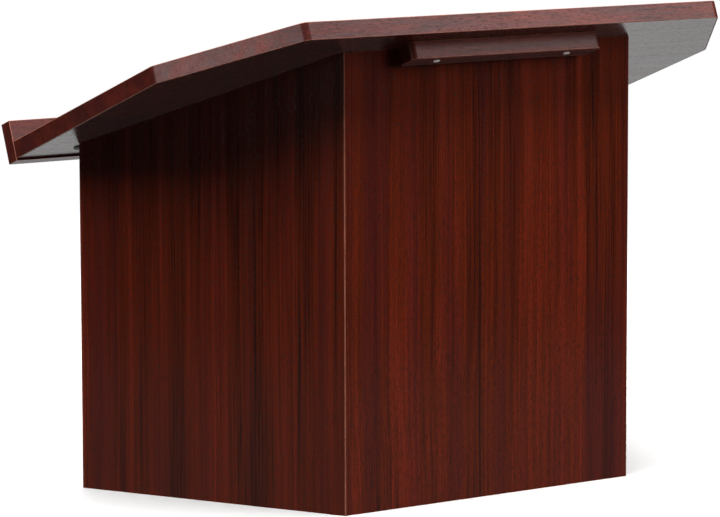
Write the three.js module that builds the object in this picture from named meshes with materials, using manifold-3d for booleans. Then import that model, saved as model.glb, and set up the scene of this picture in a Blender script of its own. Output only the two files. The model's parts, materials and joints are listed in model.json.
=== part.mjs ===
// Table-top lectern with a lift-off sloping top and a base of three hinged panels.
// Millimetres and degrees. +Z is up, the audience is towards -Y, the speaker towards +Y.
import * as THREE from 'three';
import { mergeVertices } from 'three/addons/utils/BufferGeometryUtils.js';
import Module from 'manifold-3d';

const wasm = await Module();
wasm.setup();

// ---- Base: front panel and two flared side panels ----
const PANEL_THICKNESS = 18;
const FRONT_WIDTH = 360; // across the outer face, corner to corner
const FRONT_HEIGHT = 455; // to the outer top edge
const SIDE_LENGTH = 310; // along the outer face, mitred corner to rear end
const SIDE_FLARE = 23.2; // outward turn of each side from straight back
const MITRE_GAP = 0.12; // between the two faces of a mitred corner
const BLANK_HEIGHT = FRONT_HEIGHT + PANEL_THICKNESS; // of a panel before its top is cut to the slope

// ---- Sloping top ----
const TOP_SLOPE = 20;
const TOP_THICKNESS = 18;
const TOP_WIDTH = 700;
const TOP_DEPTH = 400; // along the slope, without the paper stop
const TOP_FRONT_WIDTH = 516; // width of the narrow front edge
const TOP_TAPER_DEPTH = 131; // slope distance over which the top widens
const TOP_FRONT_OVERHANG = 52; // slope distance past the front panel
const TOP_CORNER_RADIUS = 10; // in plan, at the four corners that the band wraps round
const BEARING_GAP = 0.3; // between the underside and the panels' top edges

// ---- Edge bands: one wrapped round the top, one on each side panel's rear end ----
const BAND_THICKNESS = 1;
const GLUE_LINE = 0.1; // gap left between any two glued pieces

// ---- Paper stop along the speaker's edge ----
const STOP_THICKNESS = 16;
const STOP_RISE = 22; // above the reading surface
const STOP_LIP = 2; // below the underside
const DOWEL_RADIUS = 4;
const DOWEL_IN_TOP = 26;
const DOWEL_IN_STOP = 9;
const DOWEL_SPACING = 260;
const DOWEL_FIT = 0.1;

// ---- Block under the front overhang, hooked over the front panel ----
const BLOCK_LENGTH = 238;
const BLOCK_WIDTH = 26;
const BLOCK_HEIGHT = 18;
const BLOCK_CORNER_RADIUS = 6; // in plan
const BLOCK_SCREW_INSET = 37; // from each end of the block

// ---- Domed rubber buttons behind the rear ends of the side panels ----
const BUTTON_RADIUS = 7;
const BUTTON_HEIGHT = 2.4;
const BUTTON_RINGS = 4;
const BUTTON_CLEARANCE = 1; // behind the side panel's rear end
const BUTTON_INSET = 14; // from the side panel's outer face

// ---- Butt hinges ----
const HINGE_LENGTH = 64;
const HINGE_INSET = 60; // from the bottom, and from the top, to the nearest hinge end
const LEAF_THICKNESS = 1.6;
const LEAF_WIDTH = 22; // pin axis to the leaf's free edge
const LEAF_GAP = 0.1; // between a leaf and the face behind it
const KNUCKLE_RADIUS = 3.6;
const KNUCKLE_CLEARANCE = 0.4; // between a knuckle and the face of either board
const HINGE_OFFSET = KNUCKLE_RADIUS + KNUCKLE_CLEARANCE; // pin axis to the face that a leaf is screwed to
const KNUCKLE_COUNT = 5;
const KNUCKLE_GAP = 0.3;
const KNUCKLE_NOTCH = 0.5; // leaf edge to the other leaf's knuckles
const TAB_OVERLAP = 1; // of a knuckle's tab into its leaf
const PIN_RADIUS = 1.5;
const PIN_FIT = 0.1;
const PIN_HEAD_RADIUS = 2.6;
const PIN_HEAD_HEIGHT = 0.9;
const LEAF_SCREW_REACH = 13; // pin axis to the screws
const LEAF_SCREW_SPACING = 40;
const FOLD_CLEARANCE = 4; // between the two side panels when both are folded flat

// ---- Packing strip that carries the right-hand hinges ----
const STRIP_WIDTH = 24;
const STRIP_END_INSET = 18;
const STRIP_CLEARANCE = 1.5; // to the side panel's inner face
const STRIP_SCREW_INSET = 30; // from each end of the strip

// ---- Screws: head radius, shank radius, length and height of the raised crown ----
const SCREW_COVER = 6; // wood left beyond the tip of a long screw
const BLOCK_SCREW_LENGTH = BLOCK_HEIGHT + TOP_THICKNESS - SCREW_COVER;
const STRIP_SCREW_LENGTH = 2 * PANEL_THICKNESS + FOLD_CLEARANCE - SCREW_COVER;
const LEAF_SCREW_LENGTH = LEAF_THICKNESS + LEAF_GAP + PANEL_THICKNESS - SCREW_COVER;
const BLOCK_SCREW = { head: 4.2, shank: 2, length: BLOCK_SCREW_LENGTH, crown: 1.6 };
const STRIP_SCREW = { head: 3.8, shank: 1.9, length: STRIP_SCREW_LENGTH, crown: 0 };
const LEAF_SCREW = { head: 2.8, shank: 1.5, length: LEAF_SCREW_LENGTH, crown: 0 };
const CROWN_ROWS = 3;
const SCREW_TIP_SHARE = 0.3; // of the shank radius
const SCREW_TAPER_SHARE = 2; // length of the point, in shank radii
const SCREW_MOUTH = 2; // how far a screw's room is open above the head
const SCREW_FIT = 0.05;
const SCREW_RIM = 0.3; // straight rim above the countersink
const RECESS_DEPTH_SHARE = 0.3; // of the head radius
const RECESS_SPAN_SHARE = 1.1;
const RECESS_WIDTH_SHARE = 0.24;
const RECESS_OVERCUT = 1;

// ---- Facets ----
const ROUND_FACETS = 16;
const SCREW_FACETS = 12;
const CORNER_FACETS = 5;

// ---- Values worked out from the sizes above ----
const DEGREE = Math.PI / 180;
const slope = TOP_SLOPE * DEGREE;
const flare = SIDE_FLARE * DEGREE;
const mitreRun = PANEL_THICKNESS * (1 - Math.sin(flare)) / Math.cos(flare);
const mitreLean = Math.atan2(mitreRun, PANEL_THICKNESS);
const mitreShift = MITRE_GAP / 2 / Math.cos(mitreLean);
const stripThickness = PANEL_THICKNESS + FOLD_CLEARANCE;
const topRear = TOP_DEPTH - TOP_FRONT_OVERHANG;
const stopFront = topRear + GLUE_LINE;
const stopRear = stopFront + STOP_THICKNESS;
const stopTop = TOP_THICKNESS + STOP_RISE;
const blockRear = -BEARING_GAP;
const blockFront = blockRear - BLOCK_WIDTH;
const frontReach = slopeToY(-TOP_FRONT_OVERHANG, BEARING_GAP);
const rearReach = slopeToY(stopRear, stopTop + BEARING_GAP);
const frontFaceY = -(frontReach + rearReach) / 2;
const carrierTop = FRONT_HEIGHT - Math.tan(slope) * (PANEL_THICKNESS + stripThickness);
const lowerHingeZ = HINGE_INSET + HINGE_LENGTH / 2;
const upperHingeZ = carrierTop - HINGE_INSET - HINGE_LENGTH / 2;
const LEFT = -1;
const RIGHT = 1;

// ---- Materials, one per piece ----
function laminate(name) {
  return new THREE.MeshStandardMaterial({ name, color: 0x5a2018, roughness: 0.38 });
}

function bandPlastic(name) {
  return new THREE.MeshStandardMaterial({ name, color: 0x6b3028, roughness: 0.35 });
}

function paleWood(name) {
  return new THREE.MeshStandardMaterial({ name, color: 0xb48a5c, roughness: 0.7 });
}

function steel(name) {
  return new THREE.MeshStandardMaterial({ name, color: 0xb9bbbe, roughness: 0.3, metalness: 1 });
}

function brass(name) {
  return new THREE.MeshStandardMaterial({ name, color: 0xb08d4c, roughness: 0.35, metalness: 1 });
}

function rubber(name) {
  return new THREE.MeshStandardMaterial({ name, color: 0x151515, roughness: 0.85 });
}

// ---- Solid helpers ----
function solidOf(geometry) {
  const bare = geometry.clone();
  bare.deleteAttribute('normal');
  bare.deleteAttribute('uv');
  const merged = mergeVertices(bare);
  const source = merged.index.array;
  const corners = [];
  for (let i = 0; i < source.length; i += 3) {
    const [a, b, c] = [source[i], source[i + 1], source[i + 2]];
    if (a !== b && b !== c && c !== a) corners.push(a, b, c);
  }
  return new wasm.Manifold(new wasm.Mesh({
    numProp: 3,
    vertProperties: new Float32Array(merged.attributes.position.array),
    triVerts: new Uint32Array(corners),
  }));
}

function geometryOf(solid) {
  const mesh = solid.getMesh();
  const geometry = new THREE.BufferGeometry();
  const points = new Float32Array(mesh.vertProperties);
  geometry.setAttribute('position', new THREE.BufferAttribute(points, 3));
  geometry.setIndex(new THREE.BufferAttribute(new Uint32Array(mesh.triVerts), 1));
  return geometry;
}

function boxBetween(low, high) {
  const size = high.map((value, i) => value - low[i]);
  const geometry = new THREE.BoxGeometry(...size);
  geometry.translate(...low.map((value, i) => value + size[i] / 2));
  return geometry;
}

function prism(outline, low, high) {
  const shape = new THREE.Shape(outline.map(([x, y]) => new THREE.Vector2(x, y)));
  const geometry = new THREE.ExtrudeGeometry(shape, { depth: high - low, bevelEnabled: false });
  geometry.translate(0, 0, low);
  return geometry;
}

// Round body about the local Z axis from [radius, height] pairs, bottom to top.
function turned(profile, facets) {
  const points = profile.map(([radius, height]) => new THREE.Vector2(radius, height));
  const geometry = new THREE.LatheGeometry(points, facets);
  geometry.rotateX(Math.PI / 2);
  return geometry;
}

function rod(radius, low, high, facets) {
  return turned([[0, low], [radius, low], [radius, high], [0, high]], facets);
}

function moved(geometry, matrix) {
  return geometry.clone().applyMatrix4(matrix);
}

function cut(solid, geometries) {
  return geometries.reduce((body, geometry) => body.subtract(solidOf(geometry)), solid);
}

function piece(name, geometry, material) {
  const mesh = new THREE.Mesh(geometry, material(name));
  mesh.name = name;
  return mesh;
}

function placed(mesh, matrix) {
  matrix.decompose(mesh.position, mesh.quaternion, mesh.scale);
  return mesh;
}

// ---- Screws: the head's face is at height 0 and the shank runs down ----
function crownProfile({ head, crown }) {
  if (crown === 0) return [[0, 0]];
  return Array.from({ length: CROWN_ROWS }, (_, i) => {
    const angle = Math.PI / 2 * (i + 1) / CROWN_ROWS;
    return [i + 1 === CROWN_ROWS ? 0 : head * Math.cos(angle), crown * Math.sin(angle)];
  });
}

function screwBody(screw, fit) {
  const { head, shank, length } = screw;
  const neck = -(SCREW_RIM + head - shank);
  const tip = -length;
  return turned([
    [0, tip - fit],
    [shank * SCREW_TIP_SHARE + fit, tip - fit],
    [shank + fit, tip + shank * SCREW_TAPER_SHARE],
    [shank + fit, neck],
    [head + fit, -SCREW_RIM],
    [head + fit, 0],
    ...crownProfile(screw),
  ], SCREW_FACETS);
}

function screwGeometry(screw) {
  const span = screw.head * RECESS_SPAN_SHARE / 2;
  const width = screw.head * RECESS_WIDTH_SHARE / 2;
  const depth = screw.head * RECESS_DEPTH_SHARE;
  const top = screw.crown + RECESS_OVERCUT;
  return geometryOf(cut(solidOf(screwBody(screw, 0)), [
    boxBetween([-span, -width, -depth], [span, width, top]),
    boxBetween([-width, -span, -depth], [width, span, top]),
  ]));
}

// The room a screw needs, open above the head's face.
function screwRoom(screw) {
  const room = solidOf(screwBody(screw, SCREW_FIT));
  const mouth = solidOf(rod(screw.head + SCREW_FIT, -SCREW_RIM / 2, SCREW_MOUTH, SCREW_FACETS));
  return geometryOf(room.add(mouth));
}

// ---- Places in the two working frames ----
// Slope frame: distance along the slope from the front panel, and height off the underside.
function slopeToY(along, height) {
  return along * Math.cos(slope) + height * Math.sin(slope);
}

function slopeMatrix() {
  return new THREE.Matrix4().makeRotationX(-slope).setPosition(0, 0, FRONT_HEIGHT);
}

// Plan of a side panel: distance along its outer face, and inward from that face.
function sidePoint(hand, along, inward) {
  const out = FRONT_WIDTH / 2 + along * Math.sin(flare) - inward * Math.cos(flare);
  return [hand * out, along * Math.cos(flare) + inward * Math.sin(flare)];
}

// Distance out from the middle where a line parallel to the side panel crosses a given y.
function sideLineX(inward, y) {
  return FRONT_WIDTH / 2 - (inward - y * Math.sin(flare)) / Math.cos(flare);
}

function carrierDepth(hand) {
  return PANEL_THICKNESS + (hand === RIGHT ? stripThickness : 0);
}

function hingeAxis(hand) {
  const y = carrierDepth(hand) + HINGE_OFFSET;
  return [hand * sideLineX(PANEL_THICKNESS + HINGE_OFFSET, y), y];
}

// Leaf frame: Z along the pin, +X towards the leaf's free edge, the wood on the -Y side.
function leafMatrix(hand, moving, z) {
  const [x, y] = hingeAxis(hand);
  const outward = hand === LEFT ? Math.PI / 2 + flare : Math.PI / 2 - flare;
  const inward = hand === LEFT ? 0 : Math.PI;
  const turn = new THREE.Matrix4().makeRotationZ(moving ? outward : inward);
  const flipped = (hand === LEFT) === moving;
  if (flipped) turn.multiply(new THREE.Matrix4().makeRotationX(Math.PI));
  return turn.setPosition(x, y, z);
}

function leafScrewMatrices(hand, moving, z) {
  const leaf = leafMatrix(hand, moving, z);
  return [-1, 1].map((end) => {
    const place = new THREE.Matrix4().makeRotationX(-Math.PI / 2);
    const face = -(HINGE_OFFSET - LEAF_GAP - LEAF_THICKNESS);
    place.setPosition(LEAF_SCREW_REACH, face, end * LEAF_SCREW_SPACING / 2);
    return leaf.clone().multiply(place);
  });
}

function hingeHeights() {
  return [['lower', lowerHingeZ], ['upper', upperHingeZ]];
}

function leafScrewRooms(hand, moving) {
  const matrices = hingeHeights().flatMap(([, z]) => leafScrewMatrices(hand, moving, z));
  return matrices.map((matrix) => moved(screwRoom(LEAF_SCREW), matrix));
}

// ---- Standing panels ----
function underTop(geometry, tools) {
  const wide = TOP_WIDTH + FRONT_WIDTH;
  const above = boxBetween([-wide, -wide, 0], [wide, wide, FRONT_HEIGHT]);
  return geometryOf(cut(solidOf(geometry), [moved(above, slopeMatrix()), ...tools]));
}

function stripScrewMatrices() {
  const x = stripMiddleX();
  const low = STRIP_END_INSET + STRIP_SCREW_INSET;
  const high = stripTop() - STRIP_SCREW_INSET;
  return [low, (low + high) / 2, high].map((z) => {
    const place = new THREE.Matrix4().makeRotationX(-Math.PI / 2);
    return place.setPosition(x, carrierDepth(RIGHT), z);
  });
}

function frontPanel() {
  const outer = FRONT_WIDTH / 2 - mitreShift;
  const inner = outer - mitreRun;
  const outline = [[-outer, 0], [outer, 0], [inner, PANEL_THICKNESS], [-inner, PANEL_THICKNESS]];
  const stripHoles = stripScrewMatrices().map((matrix) => moved(screwRoom(STRIP_SCREW), matrix));
  const tools = [...leafScrewRooms(LEFT, false), ...stripHoles];
  return piece('front_panel', underTop(prism(outline, 0, BLANK_HEIGHT), tools), laminate);
}

function sidePanel(hand, name) {
  const end = SIDE_LENGTH - BAND_THICKNESS - GLUE_LINE;
  const outline = [
    sidePoint(hand, mitreShift, 0),
    sidePoint(hand, end, 0),
    sidePoint(hand, end, PANEL_THICKNESS),
    sidePoint(hand, mitreShift + mitreRun, PANEL_THICKNESS),
  ];
  const body = prism(outline, 0, BLANK_HEIGHT);
  return piece(name, underTop(body, leafScrewRooms(hand, true)), laminate);
}

function sideBand(hand, name) {
  const start = SIDE_LENGTH - BAND_THICKNESS;
  const outline = [
    sidePoint(hand, start, 0),
    sidePoint(hand, SIDE_LENGTH, 0),
    sidePoint(hand, SIDE_LENGTH, PANEL_THICKNESS),
    sidePoint(hand, start, PANEL_THICKNESS),
  ];
  return piece(name, underTop(prism(outline, 0, BLANK_HEIGHT), []), bandPlastic);
}

// ---- Packing strip ----
function stripTop() {
  return carrierTop - STRIP_END_INSET;
}

function stripInnerX() {
  return sideLineX(PANEL_THICKNESS + STRIP_CLEARANCE, PANEL_THICKNESS) - STRIP_WIDTH;
}

function stripMiddleX() {
  return stripInnerX() + STRIP_WIDTH / 2;
}

function packingStrip() {
  const front = PANEL_THICKNESS + GLUE_LINE;
  const back = carrierDepth(RIGHT);
  const clear = PANEL_THICKNESS + STRIP_CLEARANCE;
  const outline = [
    [stripInnerX(), front],
    [sideLineX(clear, front), front],
    [sideLineX(clear, back), back],
    [stripInnerX(), back],
  ];
  const holes = stripScrewMatrices().map((matrix) => moved(screwRoom(STRIP_SCREW), matrix));
  const solid = solidOf(prism(outline, STRIP_END_INSET, stripTop()));
  const tools = [...leafScrewRooms(RIGHT, false), ...holes];
  return piece('packing_strip', geometryOf(cut(solid, tools)), laminate);
}

function stripScrews() {
  const names = ['strip_screw_lower', 'strip_screw_middle', 'strip_screw_upper'];
  return stripScrewMatrices().map((matrix, i) => {
    return placed(piece(names[i], screwGeometry(STRIP_SCREW), steel), matrix);
  });
}

// ---- Hinges ----
function knuckleSpans(moving) {
  const pitch = HINGE_LENGTH / KNUCKLE_COUNT;
  const spans = [];
  for (let i = moving ? 1 : 0; i < KNUCKLE_COUNT; i += 2) {
    const low = -HINGE_LENGTH / 2 + i * pitch;
    spans.push([low + KNUCKLE_GAP / 2, low + pitch - KNUCKLE_GAP / 2]);
  }
  return spans;
}

function leafGeometry(moving) {
  const back = -(HINGE_OFFSET - LEAF_GAP);
  const face = back + LEAF_THICKNESS;
  const notch = KNUCKLE_RADIUS + KNUCKLE_NOTCH;
  const half = HINGE_LENGTH / 2 - KNUCKLE_GAP / 2;
  let body = solidOf(boxBetween([notch, back, -half], [LEAF_WIDTH, face, half]));
  for (const [low, high] of knuckleSpans(moving)) {
    const tab = solidOf(boxBetween([0, back, low], [notch + TAB_OVERLAP, face, high]));
    body = body.add(tab).add(solidOf(rod(KNUCKLE_RADIUS, low, high, ROUND_FACETS)));
  }
  const bore = rod(PIN_RADIUS + PIN_FIT, -HINGE_LENGTH, HINGE_LENGTH, ROUND_FACETS);
  const holes = [-1, 1].map((end) => {
    const place = new THREE.Matrix4().makeRotationX(-Math.PI / 2);
    place.setPosition(LEAF_SCREW_REACH, face, end * LEAF_SCREW_SPACING / 2);
    return moved(screwRoom(LEAF_SCREW), place);
  });
  return geometryOf(cut(body, [bore, ...holes]));
}

function pinGeometry() {
  const half = HINGE_LENGTH / 2;
  const end = half + PIN_HEAD_HEIGHT;
  return turned([
    [0, -end],
    [PIN_HEAD_RADIUS, -end],
    [PIN_HEAD_RADIUS, -half],
    [PIN_RADIUS, -half],
    [PIN_RADIUS, half],
    [PIN_HEAD_RADIUS, half],
    [PIN_HEAD_RADIUS, end],
    [0, end],
  ], ROUND_FACETS);
}

function hinge(hand, sideName) {
  const parts = [];
  for (const [level, z] of hingeHeights()) {
    const stem = `${sideName}_${level}_hinge`;
    for (const moving of [false, true]) {
      const role = moving ? 'side' : 'front';
      const leaf = piece(`${stem}_${role}_leaf`, leafGeometry(moving), brass);
      parts.push(placed(leaf, leafMatrix(hand, moving, z)));
      leafScrewMatrices(hand, moving, z).forEach((matrix, i) => {
        const name = `${stem}_${role}_screw_${i + 1}`;
        parts.push(placed(piece(name, screwGeometry(LEAF_SCREW), brass), matrix));
      });
    }
    const pin = piece(`${stem}_pin`, geometryOf(solidOf(pinGeometry())), brass);
    const [x, y] = hingeAxis(hand);
    pin.position.set(x, y, z);
    parts.push(pin);
  }
  return parts;
}

// ---- Sloping top, in the slope frame ----
function topCorners() {
  const front = -TOP_FRONT_OVERHANG;
  const shoulder = front + TOP_TAPER_DEPTH;
  return [
    [-TOP_WIDTH / 2, topRear],
    [-TOP_WIDTH / 2, shoulder],
    [-TOP_FRONT_WIDTH / 2, front],
    [TOP_FRONT_WIDTH / 2, front],
    [TOP_WIDTH / 2, shoulder],
    [TOP_WIDTH / 2, topRear],
  ];
}

// The corners moved in from every banded edge; the rear edge stays where it is.
function insetCorners(inset) {
  const corners = topCorners();
  const lines = corners.slice(1).map((end, i) => {
    const start = corners[i];
    const direction = [end[0] - start[0], end[1] - start[1]];
    const length = Math.hypot(...direction);
    const normal = [-direction[1] / length, direction[0] / length];
    const point = [start[0] + normal[0] * inset, start[1] + normal[1] * inset];
    return { point, direction };
  });
  const joints = lines.slice(1).map((line, i) => crossing(lines[i], line));
  const first = [lines[0].point[0], topRear];
  return [first, ...joints, [-first[0], topRear]];
}

// The top's edge from its left rear end round to its right rear end, with rounded corners.
function topEdge(inset) {
  const corners = insetCorners(inset);
  const middle = corners.slice(1, -1).flatMap((corner, i) => {
    return roundedCorner(corners[i], corner, corners[i + 2], TOP_CORNER_RADIUS - inset);
  });
  return [corners[0], ...middle, corners[corners.length - 1]];
}

// Points of the arc that replaces a corner, from the side of one neighbour to the other's.
function roundedCorner(before, corner, after, radius) {
  const [toBefore, toAfter] = [before, after].map((end) => {
    const step = [end[0] - corner[0], end[1] - corner[1]];
    const length = Math.hypot(...step);
    return [step[0] / length, step[1] / length];
  });
  const half = Math.acos(toBefore[0] * toAfter[0] + toBefore[1] * toAfter[1]) / 2;
  const run = radius / Math.tan(half);
  const start = [corner[0] + toBefore[0] * run, corner[1] + toBefore[1] * run];
  const end = [corner[0] + toAfter[0] * run, corner[1] + toAfter[1] * run];
  const middle = [toBefore[0] + toAfter[0], toBefore[1] + toAfter[1]];
  const reach = radius / Math.sin(half) / Math.hypot(...middle);
  const centre = [corner[0] + middle[0] * reach, corner[1] + middle[1] * reach];
  const first = Math.atan2(start[1] - centre[1], start[0] - centre[0]);
  const last = Math.atan2(end[1] - centre[1], end[0] - centre[0]);
  const sweep = Math.atan2(Math.sin(last - first), Math.cos(last - first));
  return Array.from({ length: CORNER_FACETS + 1 }, (_, i) => {
    const angle = first + sweep * i / CORNER_FACETS;
    return [centre[0] + radius * Math.cos(angle), centre[1] + radius * Math.sin(angle)];
  });
}

function crossing(one, two) {
  const across = [two.point[0] - one.point[0], two.point[1] - one.point[1]];
  const turn = one.direction[0] * two.direction[1] - one.direction[1] * two.direction[0];
  const share = (across[0] * two.direction[1] - across[1] * two.direction[0]) / turn;
  return [one.point[0] + one.direction[0] * share, one.point[1] + one.direction[1] * share];
}

function dowelMatrices() {
  return [-DOWEL_SPACING, 0, DOWEL_SPACING].map((x) => {
    const place = new THREE.Matrix4().makeRotationX(-Math.PI / 2);
    return place.setPosition(x, topRear, TOP_THICKNESS / 2);
  });
}

function dowelRod(fit) {
  return rod(DOWEL_RADIUS + fit, -DOWEL_IN_TOP - fit, DOWEL_IN_STOP + fit, ROUND_FACETS);
}

function dowelHoles() {
  return dowelMatrices().map((matrix) => moved(dowelRod(DOWEL_FIT), matrix));
}

function blockScrewMatrices() {
  const reach = BLOCK_LENGTH / 2 - BLOCK_SCREW_INSET;
  return [-reach, reach].map((x) => {
    const place = new THREE.Matrix4().makeRotationX(Math.PI);
    return place.setPosition(x, (blockFront + blockRear) / 2, -GLUE_LINE - BLOCK_HEIGHT);
  });
}

function blockScrewHoles() {
  return blockScrewMatrices().map((matrix) => moved(screwRoom(BLOCK_SCREW), matrix));
}

// Middle of the button, just behind the side panel's rear end.
function buttonPlace(hand) {
  const along = SIDE_LENGTH + BUTTON_CLEARANCE + BUTTON_RADIUS;
  const [x, y] = sidePoint(hand, along, BUTTON_INSET);
  return [x, y / Math.cos(slope)];
}

function topBoard() {
  const solid = solidOf(prism(topEdge(BAND_THICKNESS + GLUE_LINE), 0, TOP_THICKNESS));
  const tools = [...dowelHoles(), ...blockScrewHoles()];
  return piece('top_board', geometryOf(cut(solid, tools)), laminate);
}

function topBand() {
  const outline = [...topEdge(0), ...topEdge(BAND_THICKNESS).reverse()];
  return piece('top_edge_band', geometryOf(solidOf(prism(outline, 0, TOP_THICKNESS))), bandPlastic);
}

function paperStop() {
  const half = TOP_WIDTH / 2;
  const bar = boxBetween([-half, stopFront, -STOP_LIP], [half, stopRear, stopTop]);
  return piece('paper_stop', geometryOf(cut(solidOf(bar), dowelHoles())), laminate);
}

function dowels() {
  const names = ['dowel_left', 'dowel_middle', 'dowel_right'];
  return dowelMatrices().map((matrix, i) => {
    return placed(piece(names[i], geometryOf(solidOf(dowelRod(0))), paleWood), matrix);
  });
}

function stopBlock() {
  const half = BLOCK_LENGTH / 2;
  const corners = [[-half, blockFront], [half, blockFront], [half, blockRear], [-half, blockRear]];
  const outline = corners.flatMap((corner, i) => {
    const before = corners[(i + corners.length - 1) % corners.length];
    const after = corners[(i + 1) % corners.length];
    return roundedCorner(before, corner, after, BLOCK_CORNER_RADIUS);
  });
  const solid = solidOf(prism(outline, -GLUE_LINE - BLOCK_HEIGHT, -GLUE_LINE));
  return piece('stop_block', geometryOf(cut(solid, blockScrewHoles())), laminate);
}

function blockScrews() {
  const names = ['block_screw_left', 'block_screw_right'];
  return blockScrewMatrices().map((matrix, i) => {
    return placed(piece(names[i], screwGeometry(BLOCK_SCREW), steel), matrix);
  });
}

function stopButton(hand, name) {
  const dome = Array.from({ length: BUTTON_RINGS + 1 }, (_, i) => {
    const angle = Math.PI / 2 * i / BUTTON_RINGS;
    return [BUTTON_RADIUS * Math.sin(angle), -GLUE_LINE - BUTTON_HEIGHT * Math.cos(angle)];
  });
  const body = turned([...dome, [0, -GLUE_LINE]], ROUND_FACETS);
  const button = piece(name, geometryOf(solidOf(body)), rubber);
  const [x, along] = buttonPlace(hand);
  button.position.set(x, along, 0);
  return button;
}

// ---- Assembly ----
const base = new THREE.Group();
base.name = 'base_group';
base.position.set(0, frontFaceY, 0);
base.add(frontPanel(), packingStrip(), ...stripScrews());
base.add(sidePanel(LEFT, 'left_side_panel'), sideBand(LEFT, 'left_side_edge_band'));
base.add(sidePanel(RIGHT, 'right_side_panel'), sideBand(RIGHT, 'right_side_edge_band'));
base.add(...hinge(LEFT, 'left'), ...hinge(RIGHT, 'right'));

const top = new THREE.Group();
top.name = 'top_group';
top.rotation.x = -slope;
const topY = frontFaceY + BEARING_GAP * Math.sin(slope);
const topZ = FRONT_HEIGHT + BEARING_GAP * Math.cos(slope);
top.position.set(0, topY, topZ);
top.add(topBoard(), topBand(), paperStop(), ...dowels(), stopBlock(), ...blockScrews());
top.add(stopButton(LEFT, 'left_stop_button'), stopButton(RIGHT, 'right_stop_button'));

const lectern = new THREE.Group();
lectern.name = 'lectern_stand';
lectern.add(base, top);

export default lectern;
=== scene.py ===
import json
import math

import bmesh
import bpy
import numpy as np
from mathutils import Matrix, Vector


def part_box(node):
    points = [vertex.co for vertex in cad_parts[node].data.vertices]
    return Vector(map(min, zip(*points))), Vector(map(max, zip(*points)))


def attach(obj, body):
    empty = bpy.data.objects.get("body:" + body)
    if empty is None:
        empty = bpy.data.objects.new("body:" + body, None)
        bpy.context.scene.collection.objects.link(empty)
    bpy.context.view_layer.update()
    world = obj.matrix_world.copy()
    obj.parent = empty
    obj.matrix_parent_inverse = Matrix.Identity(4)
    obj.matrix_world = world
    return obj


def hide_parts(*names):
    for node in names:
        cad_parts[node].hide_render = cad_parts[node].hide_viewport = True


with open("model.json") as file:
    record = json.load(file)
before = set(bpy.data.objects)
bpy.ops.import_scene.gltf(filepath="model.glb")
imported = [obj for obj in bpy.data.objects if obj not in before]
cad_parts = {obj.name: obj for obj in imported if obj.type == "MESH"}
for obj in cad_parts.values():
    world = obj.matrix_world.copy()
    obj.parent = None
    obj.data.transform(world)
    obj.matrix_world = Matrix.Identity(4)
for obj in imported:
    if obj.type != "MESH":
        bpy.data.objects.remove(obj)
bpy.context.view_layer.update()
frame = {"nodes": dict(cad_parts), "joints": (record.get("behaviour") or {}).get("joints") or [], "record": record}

# ---- Sizes that are not in the frame ----
MM = 0.001
ARRIS = 0.55 * MM  # rounding along a board's edges
BAND_ARRIS = 0.6 * MM  # rounding along the top's edge band
SIDE_BAND_ARRIS = 0.25 * MM
BLOCK_ARRIS = 0.9 * MM
CORNER_ARRIS_DEPTH = 0.4 * MM  # how far the outer corners of the base are eased
SHARP_ANGLE = math.radians(30)
SMOOTH_ANGLE = math.radians(42)
FLAT_ANGLE = math.radians(0.6)  # faces of the CAD that meet at less are one face
WELD_DISTANCE = 0.001 * MM
SCREW_ROOM = 0.4 * MM  # an edge within this of a screw's box isn't eased
ROUND_STEPS = 48

# ---- Places read from the frame ----
LEFT = -1
RIGHT = 1
nodes = frame["nodes"]
joints = {joint["name"]: joint for joint in frame["joints"]}
mounts = {mount["name"]: mount for mount in frame["record"]["mounts"]}
front_low, front_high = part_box("front_panel")
slope_up = Vector(mounts["reading_surface"]["axis"]).normalized()
slope_down = Vector((0, slope_up.z, -slope_up.y))
flare = math.radians(joints["left_fold"]["range_deg"][1] - 90)
hinge_point = {LEFT: Vector(joints["left_fold"]["pos_m"]), RIGHT: Vector(joints["right_fold"]["pos_m"])}
side_name = {LEFT: "left", RIGHT: "right"}
top_low, top_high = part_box("top_board")
TOP_MIDDLE_Y = (top_low.y + top_high.y) / 2


# ---- Node graphs ----
def fill_ramp(node, stops):
    """Gives a colour ramp node the stops, as (position, colour), and no others."""
    elements = node.color_ramp.elements
    while len(elements) > 1:
        elements.remove(elements[0])
    elements[0].position = stops[0][0]
    elements[0].color = (*stops[0][1], 1)
    for position, colour in stops[1:]:
        elements.new(position).color = (*colour, 1)


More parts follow.
